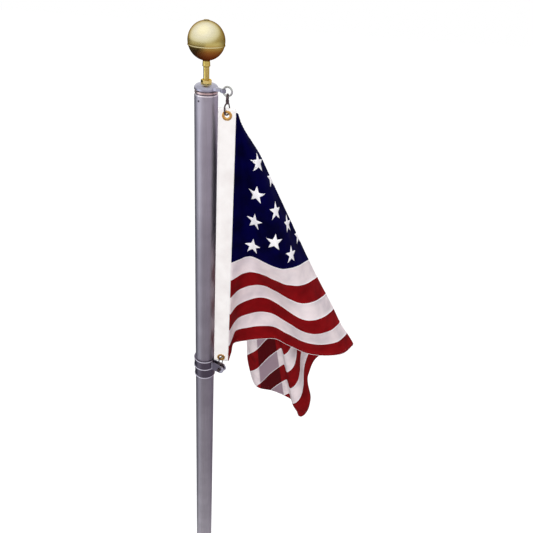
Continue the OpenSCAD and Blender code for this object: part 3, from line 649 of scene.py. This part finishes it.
def clothThick(u, v):
    # half the thickness, more where the cloth is folded over at seams and hems
    slack = 1e-6  # keeps grid lines on an edge to one side of it
    stripe, canton = flagCloth["hoist"] / flagCloth["stripes"], flagCloth["canton"]
    seam, hem, cantonFoot = flagCloth["seam"], flagCloth["hem"], flagCloth["cantonStripes"] * stripe
    near = min(v % stripe, stripe - v % stripe)
    inCanton = u < canton - slack and v < cantonFoot - seam - slack
    seams = near <= seam + slack and not inCanton
    side = abs(u - canton) <= seam + slack and v <= cantonFoot
    hems = (v <= hem + slack or v >= flagCloth["hoist"] - hem - slack
            or u >= flagCloth["fly"] - flagCloth["flyHem"] - slack)
    return flagCloth["seamHalf"] if seams or side or hems else flagCloth["half"]


def buildFlag():
    across, down = clothLines()
    columns, rows = len(across), len(down)
    points = [[clothPoint(u, v) for u in across] for v in down]
    normals = []
    for j in range(rows):
        for i in range(columns):
            sideways = points[j][min(i + 1, columns - 1)] - points[j][max(i - 1, 0)]
            downwards = points[min(j + 1, rows - 1)][i] - points[max(j - 1, 0)][i]
            normals.append(sideways.cross(downwards).normalized())
    middle = []
    perDegree, perMetre = flagCloth["creaseRates"]
    for j, v in enumerate(down):  # faint creases along the fold lines
        for i, u in enumerate(across):
            angle = math.degrees(math.atan2(max(u, 0), v + flagCloth["fanRise"]))
            along = math.hypot(max(u, 0), v)
            spot = Vector((angle * perDegree, along * perMetre, flagCloth["creasePlace"]))
            lift = noise.noise(spot) * min(along / flagCloth["creaseReach"], 1)
            middle.append(points[j][i] + normals[j * columns + i] * flagCloth["crease"] * lift)
    stripe = flagCloth["hoist"] / flagCloth["stripes"]

    def clothColour(i, j):  # number of the look in clothLooks
        u, v = (across[i] + across[i + 1]) / 2, (down[j] + down[j + 1]) / 2
        k = int(v / stripe)
        if u < flagCloth["canton"] and k < flagCloth["cantonStripes"]:
            return 2
        return k % 2

    def addFlat(piece):
        layer = piece.data.uv_layers.new(name="flat")
        for loop in piece.data.loops:
            k = loop.vertex_index % (columns * rows)
            u, v = across[k % columns], down[k // columns]
            layer.data[loop.index].uv = (u / flagCloth["fly"], 1 - v / flagCloth["hoist"])

    cells = [(i, j) for j in range(rows - 1) for i in range(columns - 1)]
    quads = [(i + j * columns, i + 1 + j * columns, i + 1 + (j + 1) * columns, i + (j + 1) * columns)
             for i, j in cells]
    colours = [clothColour(i, j) for i, j in cells]
    sheet = meshPiece("clothSheet", middle, quads)
    addFlat(sheet)
    skin = columns * rows
    thick = [clothThick(u, v) for v in down for u in across]
    vertices = [middle[k] + normals[k] * thick[k] for k in range(skin)]
    vertices += [middle[k] - normals[k] * thick[k] for k in range(skin)]
    faces = list(quads) + [tuple(k + skin for k in reversed(q)) for q in quads]
    # round the edge: along the top, down the fly, back along the foot and up the hoist
    edge = [i for i in range(columns)] + [columns - 1 + j * columns for j in range(1, rows)]
    edge += [i + (rows - 1) * columns for i in range(columns - 2, -1, -1)]
    edge += [j * columns for j in range(rows - 2, 0, -1)]
    rims = list(zip(edge, edge[1:] + edge[:1]))
    faces += [(b, a, a + skin, b + skin) for a, b in rims]
    rimCells = [(min(a % columns, b % columns, columns - 2), min(a // columns, b // columns, rows - 2))
                for a, b in rims]
    rimColours = [clothColour(i, j) for i, j in rimCells]
    flag = meshPiece("flagCloth", vertices, faces)
    for look in clothLooks:
        flag.data.materials.append(look)
    flag.data.polygons.foreach_set("material_index", colours + colours + rimColours)
    addFlat(flag)
    fixNormals(flag)
    return flag, sheet


flag, clothSheet = buildFlag()
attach(flag, "top_swivel")
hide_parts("flag")
print("flag hung", len(flag.data.polygons), "faces")


# Heading: doubled canvas band along the hoist
heading = {"edge": 0.0009, "blunt": 0.25, "across": 16, "steps": 122, "wave": 0.0003, "waveRate": 12,
           "hole": 0.0054, "holeAround": 40, "holeDepth": 0.02, "turnUp": 0.004}
headingFoot = headingLow + Vector((0, 0, heading["turnUp"]))
# undyed cotton canvas: warm white, matt, with a plain weave and painted shade in its creases
canvasLook = clothMaterial("cotton canvas", "#fbf7f6", "#f1ebea", 2.0, 0.1, 0.06)


def buildHeading():
    low, high = headingFoot, headingHigh
    half = (high.y - low.y) / 2 - heading["wave"]
    profile = []
    for i in range(heading["across"] + 1):  # closer together at the rounded edges
        x = low.x + (high.x - low.x) * (0.5 - 0.5 * math.cos(math.pi * i / heading["across"]))
        inward = min(min(x - low.x, high.x - x) / heading["edge"], 1)
        rounded = math.sqrt(max(0, 1 - (1 - inward) ** 2))
        profile.append((x, half * min(1, rounded + heading["blunt"])))
    # front from left to right, then back again
    ring = [(x, -y) for x, y in profile] + [(x, y) for x, y in reversed(profile)]
    middle = (low.y + high.y) / 2
    vertices, around, steps = [], len(ring), heading["steps"]
    for k in range(steps + 1):
        z = low.z + (high.z - low.z) * k / steps
        sway = heading["wave"] * noise.noise(Vector((0.5, 0.5, z * heading["waveRate"])))
        vertices += [(x, middle + y + sway, z) for x, y in ring]
    ends = [tuple(range(around - 1, -1, -1)), tuple(i + steps * around for i in range(around))]
    piece = meshPiece("headingBand", vertices, ringFaces(steps + 1, around) + ends)
    fixNormals(piece)
    for name in ("top_grommet", "bottom_grommet"):
        a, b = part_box(name)
        place = Matrix.Translation((a + b) / 2) @ Matrix.Rotation(math.pi / 2, 4, "X")
        work = bmesh.new()
        bmesh.ops.create_cone(work, cap_ends=True, segments=heading["holeAround"], radius1=heading["hole"],
                              radius2=heading["hole"], depth=heading["holeDepth"], matrix=place)
        cutter = meshPiece("cutter", [], [])
        work.to_mesh(cutter.data)
        work.free()
        cut = piece.modifiers.new("hole", "BOOLEAN")
        cut.operation, cut.object, cut.solver = "DIFFERENCE", cutter, "EXACT"
        bakeModifiers(piece)
        bpy.data.objects.remove(cutter)
    layer = piece.data.uv_layers.new(name="flat")
    for loop in piece.data.loops:
        spot = piece.data.vertices[loop.vertex_index].co - low
        layer.data[loop.index].uv = (spot.x / flagCloth["fly"], spot.z / flagCloth["hoist"])
    piece.data.materials.clear()
    piece.data.materials.append(canvasLook)
    return piece


headingBand = buildHeading()
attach(headingBand, "top_swivel")
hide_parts("heading")
print("heading sewn")


# Thread for stars and stitches
def threadMaterial(name, colour, shade, lines):
    # embroidery lines in millimetres, drawn coarser than thread so that they show
    material, tree = newMaterial(name)
    coords = addNode(tree, "ShaderNodeTexCoord")
    rows = addNode(tree, "ShaderNodeTexWave", {
        "bands_direction": "DIAGONAL", "Scale": 1000 * wavePeriod / lines, "Distortion": 1.5},
        {"Vector": coords.outputs["Object"]})
    tone = addNode(tree, "ShaderNodeMix", {"data_type": "RGBA", 6: linear(shade), 7: linear(colour)},
                   {0: rows.outputs[1]})
    relief = addNode(tree, "ShaderNodeBump", {"Strength": 0.3, "Distance": 0.0004},
                     {"Height": rows.outputs[1]})
    finishMaterial(tree, addNode(tree, "ShaderNodeBsdfPrincipled", {"Roughness": 0.5, "Sheen Weight": 0.05},
                                 {"Base Color": tone.outputs[2], "Normal": relief.outputs[0]}))
    return material


# white thread: soft satin lines on the stars and seams
threadLook = threadMaterial("embroidery thread", "#fffdff", "#f3eef4", 2.0)
# hem thread: dyed near the red, so its rows only just show
hemThread = threadMaterial("hem thread", "#a85a5e", "#8c4448", 2.0)


# Sewing: flat lines or shapes laid on the cloth through its flat coordinates, with a bead for each stitch
def sewingTree(name, stitched):
    tree = bpy.data.node_groups.new(name, "GeometryNodeTree")
    sockets = [("Geometry", "NodeSocketGeometry"), ("Cloth", "NodeSocketObject"), ("Fly", "NodeSocketFloat"),
               ("Hoist", "NodeSocketFloat"), ("Thread", "NodeSocketMaterial")]
    if stitched:
        sockets += [("Spacing", "NodeSocketFloat"), ("Stitch", "NodeSocketVector")]
    for label, kind in sockets:
        tree.interface.new_socket(label, in_out="INPUT", socket_type=kind)
    tree.interface.new_socket("Geometry", in_out="OUTPUT", socket_type="NodeSocketGeometry")
    given = addNode(tree, "NodeGroupInput")
    shape = given.outputs["Geometry"]
    if stitched:
        lines = addNode(tree, "GeometryNodeMeshToCurve", {}, {0: shape})
        dots = addNode(tree, "GeometryNodeCurveToPoints", {"mode": "LENGTH"},
                       {"Curve": lines.outputs[0], "Length": given.outputs["Spacing"]})
        bead = addNode(tree, "GeometryNodeMeshIcoSphere", {"Subdivisions": 1, "Radius": 0.5})
        bead = addNode(tree, "GeometryNodeTransform", {},
                       {0: bead.outputs[0], "Scale": given.outputs["Stitch"]})
        lie = addNode(tree, "FunctionNodeAlignRotationToVector", {"axis": "X"},
                      {"Vector": dots.outputs["Tangent"]})
        sewn = addNode(tree, "GeometryNodeInstanceOnPoints", {}, {
            "Points": dots.outputs[0], "Instance": bead.outputs[0], "Rotation": lie.outputs[0]})
        shape = addNode(tree, "GeometryNodeRealizeInstances", {}, {0: sewn.outputs[0]}).outputs[0]
    spots = addNode(tree, "GeometryNodeInputPosition")
    where = addNode(tree, "ShaderNodeSeparateXYZ", {}, {0: spots.outputs[0]})
    acrossShare, downShare = (
        addNode(tree, "ShaderNodeMath", {"operation": "DIVIDE"},
                {0: where.outputs[i], 1: given.outputs[side]})
        for i, side in enumerate(("Fly", "Hoist")))
    upShare = addNode(tree, "ShaderNodeMath", {"operation": "ADD", 1: 1.0}, {0: downShare.outputs[0]})
    spot = addNode(tree, "ShaderNodeCombineXYZ", {}, {0: acrossShare.outputs[0], 1: upShare.outputs[0]})
    cloth = addNode(tree, "GeometryNodeObjectInfo", {}, {"Object": given.outputs["Cloth"]})
    flat = addNode(tree, "GeometryNodeInputNamedAttribute", {"data_type": "FLOAT_VECTOR", "Name": "flat"})
    found = []
    for kind in ("GeometryNodeInputPosition", "GeometryNodeInputNormal"):
        value = addNode(tree, kind)
        found.append(addNode(tree, "GeometryNodeSampleUVSurface", {"data_type": "FLOAT_VECTOR"}, {
            0: cloth.outputs["Geometry"], 1: value.outputs[0], 2: flat.outputs[0], 3: spot.outputs[0]}))
    proud = addNode(tree, "ShaderNodeVectorMath", {"operation": "SCALE"},
                    {0: found[1].outputs[0], "Scale": where.outputs[2]})
    place = addNode(tree, "ShaderNodeVectorMath", {"operation": "ADD"},
                    {0: found[0].outputs[0], 1: proud.outputs[0]})
    laid = addNode(tree, "GeometryNodeSetPosition", {}, {0: shape, "Position": place.outputs[0]})
    laid = addNode(tree, "GeometryNodeRealizeInstances", {}, {0: laid.outputs[0]})
    dyed = addNode(tree, "GeometryNodeSetMaterial", {},
                   {0: laid.outputs[0], "Material": given.outputs["Thread"]})
    addNode(tree, "NodeGroupOutput", {}, {0: dyed.outputs[0]})
    return tree


def sewOn(piece, tree, values):
    sewing = piece.modifiers.new("sewing", "NODES")
    sewing.node_group = tree
    for item in tree.interface.items_tree:
        if item.in_out == "INPUT" and item.name in values:
            sewing[item.identifier] = values[item.name]
    return bakeModifiers(piece)


# Stars: staggered rows in the navy corner, as wide apart as the cloth shows them
stars = {"points": 5, "radius": 0.0205, "inner": 0.40, "rows": 9, "columns": 6, "rowStep": 0.0336,
         "firstRow": 0.0256, "columnStep": 0.051, "firstColumn": 0.0545, "edge": 0.0003, "ridge": 0.0008,
         "rings": 4, "parts": 4}


def buildStars():
    rings, parts = stars["rings"], stars["parts"]
    corners = []
    for k in range(2 * stars["points"]):
        radius = stars["radius"] * (1 if k % 2 == 0 else stars["inner"])
        angle = k * math.pi / stars["points"]
        corners.append(Vector((radius * math.sin(angle), radius * math.cos(angle), 0)))
    outline = [a.lerp(b, i / parts) for a, b in zip(corners, corners[1:] + corners[:1]) for i in range(parts)]
    around = len(outline)
    vertices, faces = [], []
    for row in range(stars["rows"]):
        for column in range(row % 2, stars["columns"], 2):
            centre = Vector((stars["firstColumn"] + column * stars["columnStep"],
                             -stars["firstRow"] - row * stars["rowStep"], 0))
            starts = []
            for side in (1, -1):  # the star shows on both faces of the cloth
                start = len(vertices)
                starts.append(start)
                vertices.append(centre + Vector((0, 0, side * stars["ridge"])))
                for i in range(1, rings + 1):
                    lift = stars["ridge"] + (stars["edge"] - stars["ridge"]) * i / rings
                    vertices += [centre + spot * i / rings + Vector((0, 0, side * lift)) for spot in outline]
                for k in range(around):
                    m = (k + 1) % around
                    faces.append((start, start + 1 + k, start + 1 + m)[::side])
                    for i in range(rings - 1):
                        a, b = start + 1 + i * around, start + 1 + (i + 1) * around
                        faces.append((a + k, b + k, b + m, a + m)[::side])
            front, back = (start + 1 + (rings - 1) * around for start in starts)
            faces += [(front + k, back + k, back + (k + 1) % around, front + (k + 1) % around)
                      for k in range(around)]
    piece = meshPiece("stars", vertices, faces)
    sewOn(piece, sewingTree("layOnCloth", False), {
        "Cloth": clothSheet, "Fly": flagCloth["fly"], "Hoist": flagCloth["hoist"], "Thread": threadLook})
    fixNormals(piece)
    return piece


# Stitches: a close white row on the pale side of each seam and at the bottom edge, thin rows elsewhere.
# They are drawn larger than thread so that they show.
stitches = {
    "seam": {"Spacing": 0.0034, "Stitch": (0.0046, 0.0024, 0.0022)},
    "edge": {"Spacing": 0.0034, "Stitch": (0.0044, 0.0016, 0.0024)},
    "hem": {"Spacing": 0.0052, "Stitch": (0.0036, 0.0006, 0.0015)},
    "heading": {"Spacing": 0.0052, "Stitch": (0.0036, 0.0008, 0.0030)},
    "seamRow": 0.0008, "edgeRow": 0.0008, "edgeReach": 0.43, "flyRows": (0.003, 0.008, 0.013, 0.018),
    "hemRow": 0.008, "headingRow": 0.0025, "inset": 0.003,
}


def sewLines(name, kind, lines, sheet, fly, hoist):
    ends = [(u, -v, 0) for line in lines for u, v in line]
    piece = meshPiece(name, ends, [], [(2 * k, 2 * k + 1) for k in range(len(lines))])
    sewOn(piece, sewingTree(name, True), {
        "Cloth": sheet, "Fly": fly, "Hoist": hoist, "Thread": hemThread if kind == "hem" else threadLook,
        **stitches[kind]})
    fixNormals(piece)
    return piece


def buildStitches():
    stripe = flagCloth["hoist"] / flagCloth["stripes"]
    fly, hoist, canton, inset = flagCloth["fly"], flagCloth["hoist"], flagCloth["canton"], stitches["inset"]
    foot = flagCloth["cantonStripes"] * stripe
    seams = []
    for k in range(1, flagCloth["stripes"]):
        v = k * stripe + (1 if k % 2 else -1) * stitches["seamRow"]
        seams.append(((canton if k < flagCloth["cantonStripes"] else inset, v), (fly - inset, v)))
    seams.append(((canton + stitches["seamRow"], inset), (canton + stitches["seamRow"], foot)))
    edges = [((inset, hoist - stitches["edgeRow"]), (stitches["edgeReach"], hoist - stitches["edgeRow"]))]
    hems = [((fly - u, inset), (fly - u, hoist - inset)) for u in stitches["flyRows"]]
    hems += [((inset, v), (fly - inset, v)) for v in (stitches["hemRow"], hoist - stitches["hemRow"])]
    return [sewLines(kind + "Stitches", kind, lines, clothSheet, fly, hoist)
            for kind, lines in (("seam", seams), ("edge", edges), ("hem", hems))]


def buildHeadingStitches():
    low, high, row = headingFoot, headingHigh, stitches["headingRow"]
    width, middle, length = high.x - low.x, (low.y + high.y) / 2, high.z - low.z
    corners = ((0, 1), (1, 1), (1, 0), (0, 0))
    spots = [(low.x + u * width, middle, low.z + v * length) for u, v in corners]
    sheet = meshPiece("headingSheet", spots, [(0, 1, 2, 3)])
    layer = sheet.data.uv_layers.new(name="flat")
    for loop, corner in zip(layer.data, corners):
        loop.uv = corner
    lines = [((u, row), (u, length - row)) for u in (row, width - 3 * row, width - row)]
    lines += [((row, v), (width - row, v)) for v in (row, length - row)]
    piece = sewLines("headingStitches", "heading", lines, sheet, width, length)
    bpy.data.objects.remove(sheet)
    return piece


starsPiece = buildStars()
clothStitches = buildStitches()
headingStitches = buildHeadingStitches()
bpy.data.objects.remove(clothSheet)
sewnSlots = [(starsPiece, "flag_cloth"), (headingStitches, "canvas")]
sewnSlots += [(piece, "flag_cloth") for piece in clothStitches]
for piece, slot in sewnSlots:
    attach(piece, "top_swivel")
    print(piece.name, len(piece.data.polygons), "faces")
